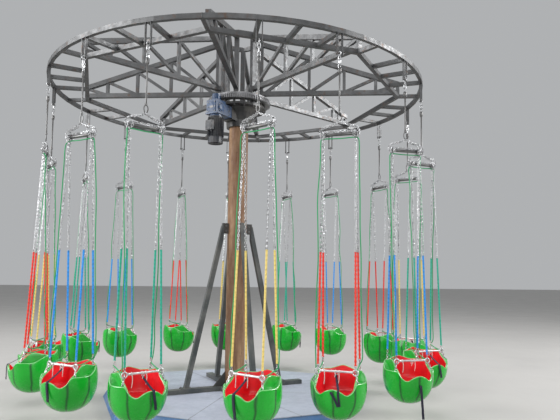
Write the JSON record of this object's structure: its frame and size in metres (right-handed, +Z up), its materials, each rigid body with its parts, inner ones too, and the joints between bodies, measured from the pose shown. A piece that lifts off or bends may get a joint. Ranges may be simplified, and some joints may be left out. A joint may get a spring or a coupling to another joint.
{
  "type": "chair swing ride",
  "caption": "Small chair swing ride: round bucket seats on chains under a turning trussed spreader on a braced column with a low deck.",
  "frame": {"origin": "middle of the deck's underside, on the column's axis", "axes": "+Z up along the column; -Y towards the picture's near side, +X to its right"},
  "size_m": [5.4452, 5.4309, 4.93],
  "materials": {
    "deck_paint": "worn pale blue-grey paint on steel plate",
    "skirt_paint": "blue paint, scuffed",
    "dark_paint": "dark grey paint, satin",
    "column_paint": "brown primer with rust streaks",
    "black_paint": "black paint, satin",
    "drive_paint": "blue machinery enamel",
    "motor_paint": "dark machinery enamel",
    "bearing_steel": "machined and greasy",
    "mill_steel": "bare mill scale with light rust",
    "zinc": "bright zinc",
    "green_shell": "glossy moulded shell"
  },
  "bodies": {
    "base": {"deck": "deck_paint", "deck_skirt": "skirt_paint", "foot_cross": "dark_paint", "column": "column_paint", "brace_1": "dark_paint", "brace_2": "dark_paint", "brace_3": "dark_paint", "brace_4": "dark_paint", "bearing_housing": "black_paint", "gearbox": "drive_paint", "motor": "motor_paint"},
    "carousel": {"slewing_ring": "bearing_steel", "hub_cage": "mill_steel", "arm_1": "mill_steel", "arm_2": "mill_steel", "arm_3": "mill_steel", "arm_4": "mill_steel", "arm_5": "mill_steel", "arm_6": "mill_steel", "arm_7": "mill_steel", "arm_8": "mill_steel", "rim_1": "mill_steel", "rim_2": "mill_steel", "rim_3": "mill_steel", "rim_4": "mill_steel"},
    "chair_01": {"suspension_01": "zinc", "seat_01": "green_shell"},
    "chair_02": {"suspension_02": "zinc", "seat_02": "green_shell"},
    "chair_03": {"suspension_03": "zinc", "seat_03": "green_shell"},
    "chair_04": {"suspension_04": "zinc", "seat_04": "green_shell"},
    "chair_05": {"suspension_05": "zinc", "seat_05": "green_shell"},
    "chair_06": {"suspension_06": "zinc", "seat_06": "green_shell"},
    "chair_07": {"suspension_07": "zinc", "seat_07": "green_shell"},
    "chair_08": {"suspension_08": "zinc", "seat_08": "green_shell"},
    "chair_09": {"suspension_09": "zinc", "seat_09": "green_shell"},
    "chair_10": {"suspension_10": "zinc", "seat_10": "green_shell"},
    "chair_11": {"suspension_11": "zinc", "seat_11": "green_shell"},
    "chair_12": {"suspension_12": "zinc", "seat_12": "green_shell"},
    "chair_13": {"suspension_13": "zinc", "seat_13": "green_shell"},
    "chair_14": {"suspension_14": "zinc", "seat_14": "green_shell"},
    "chair_15": {"suspension_15": "zinc", "seat_15": "green_shell"},
    "chair_16": {"suspension_16": "zinc", "seat_16": "green_shell"}
  },
  "joints": [
    {"name": "carousel_spin", "type": "hinge", "parent": "base", "child": "carousel", "pos_m": [0, 0, 4], "axis": [0, 0, 1], "continuous": true},
    {"name": "swing_01", "type": "hinge", "parent": "carousel", "child": "chair_01", "pos_m": [-0.88478, -2.28466, 3.85], "axis": [-0.9325, 0.3611, 0], "range_deg": [-8, 40]},
    {"name": "swing_02", "type": "hinge", "parent": "carousel", "child": "chair_02", "pos_m": [0.17815, -2.44351, 3.85], "axis": [-0.9974, -0.0727, 0], "range_deg": [-8, 40]},
    {"name": "swing_03", "type": "hinge", "parent": "carousel", "child": "chair_03", "pos_m": [0.98986, -2.24113, 3.85], "axis": [-0.9148, -0.404, 0], "range_deg": [-8, 40]},
    {"name": "swing_04", "type": "hinge", "parent": "carousel", "child": "chair_04", "pos_m": [1.8538, -1.60185, 3.85], "axis": [-0.6538, -0.7567, 0], "range_deg": [-8, 40]},
    {"name": "swing_05", "type": "hinge", "parent": "carousel", "child": "chair_05", "pos_m": [2.28466, -0.88478, 3.85], "axis": [-0.3611, -0.9325, 0], "range_deg": [-8, 40]},
    {"name": "swing_06", "type": "hinge", "parent": "carousel", "child": "chair_06", "pos_m": [2.44351, 0.17815, 3.85], "axis": [0.0727, -0.9974, 0], "range_deg": [-8, 40]},
    {"name": "swing_07", "type": "hinge", "parent": "carousel", "child": "chair_07", "pos_m": [2.24113, 0.98986, 3.85], "axis": [0.404, -0.9148, 0], "range_deg": [-8, 40]},
    {"name": "swing_08", "type": "hinge", "parent": "carousel", "child": "chair_08", "pos_m": [1.60185, 1.8538, 3.85], "axis": [0.7567, -0.6538, 0], "range_deg": [-8, 40]},
    {"name": "swing_09", "type": "hinge", "parent": "carousel", "child": "chair_09", "pos_m": [0.88478, 2.28466, 3.85], "axis": [0.9325, -0.3611, 0], "range_deg": [-8, 40]},
    {"name": "swing_10", "type": "hinge", "parent": "carousel", "child": "chair_10", "pos_m": [-0.17815, 2.44351, 3.85], "axis": [0.9974, 0.0727, 0], "range_deg": [-8, 40]},
    {"name": "swing_11", "type": "hinge", "parent": "carousel", "child": "chair_11", "pos_m": [-0.98986, 2.24113, 3.85], "axis": [0.9148, 0.404, 0], "range_deg": [-8, 40]},
    {"name": "swing_12", "type": "hinge", "parent": "carousel", "child": "chair_12", "pos_m": [-1.8538, 1.60185, 3.85], "axis": [0.6538, 0.7567, 0], "range_deg": [-8, 40]},
    {"name": "swing_13", "type": "hinge", "parent": "carousel", "child": "chair_13", "pos_m": [-2.28466, 0.88478, 3.85], "axis": [0.3611, 0.9325, 0], "range_deg": [-8, 40]},
    {"name": "swing_14", "type": "hinge", "parent": "carousel", "child": "chair_14", "pos_m": [-2.44351, -0.17815, 3.85], "axis": [-0.0727, 0.9974, 0], "range_deg": [-8, 40]},
    {"name": "swing_15", "type": "hinge", "parent": "carousel", "child": "chair_15", "pos_m": [-2.24113, -0.98986, 3.85], "axis": [-0.404, 0.9148, 0], "range_deg": [-8, 40]},
    {"name": "swing_16", "type": "hinge", "parent": "carousel", "child": "chair_16", "pos_m": [-1.60185, -1.8538, 3.85], "axis": [-0.7567, 0.6538, 0], "range_deg": [-8, 40]}
  ]
}
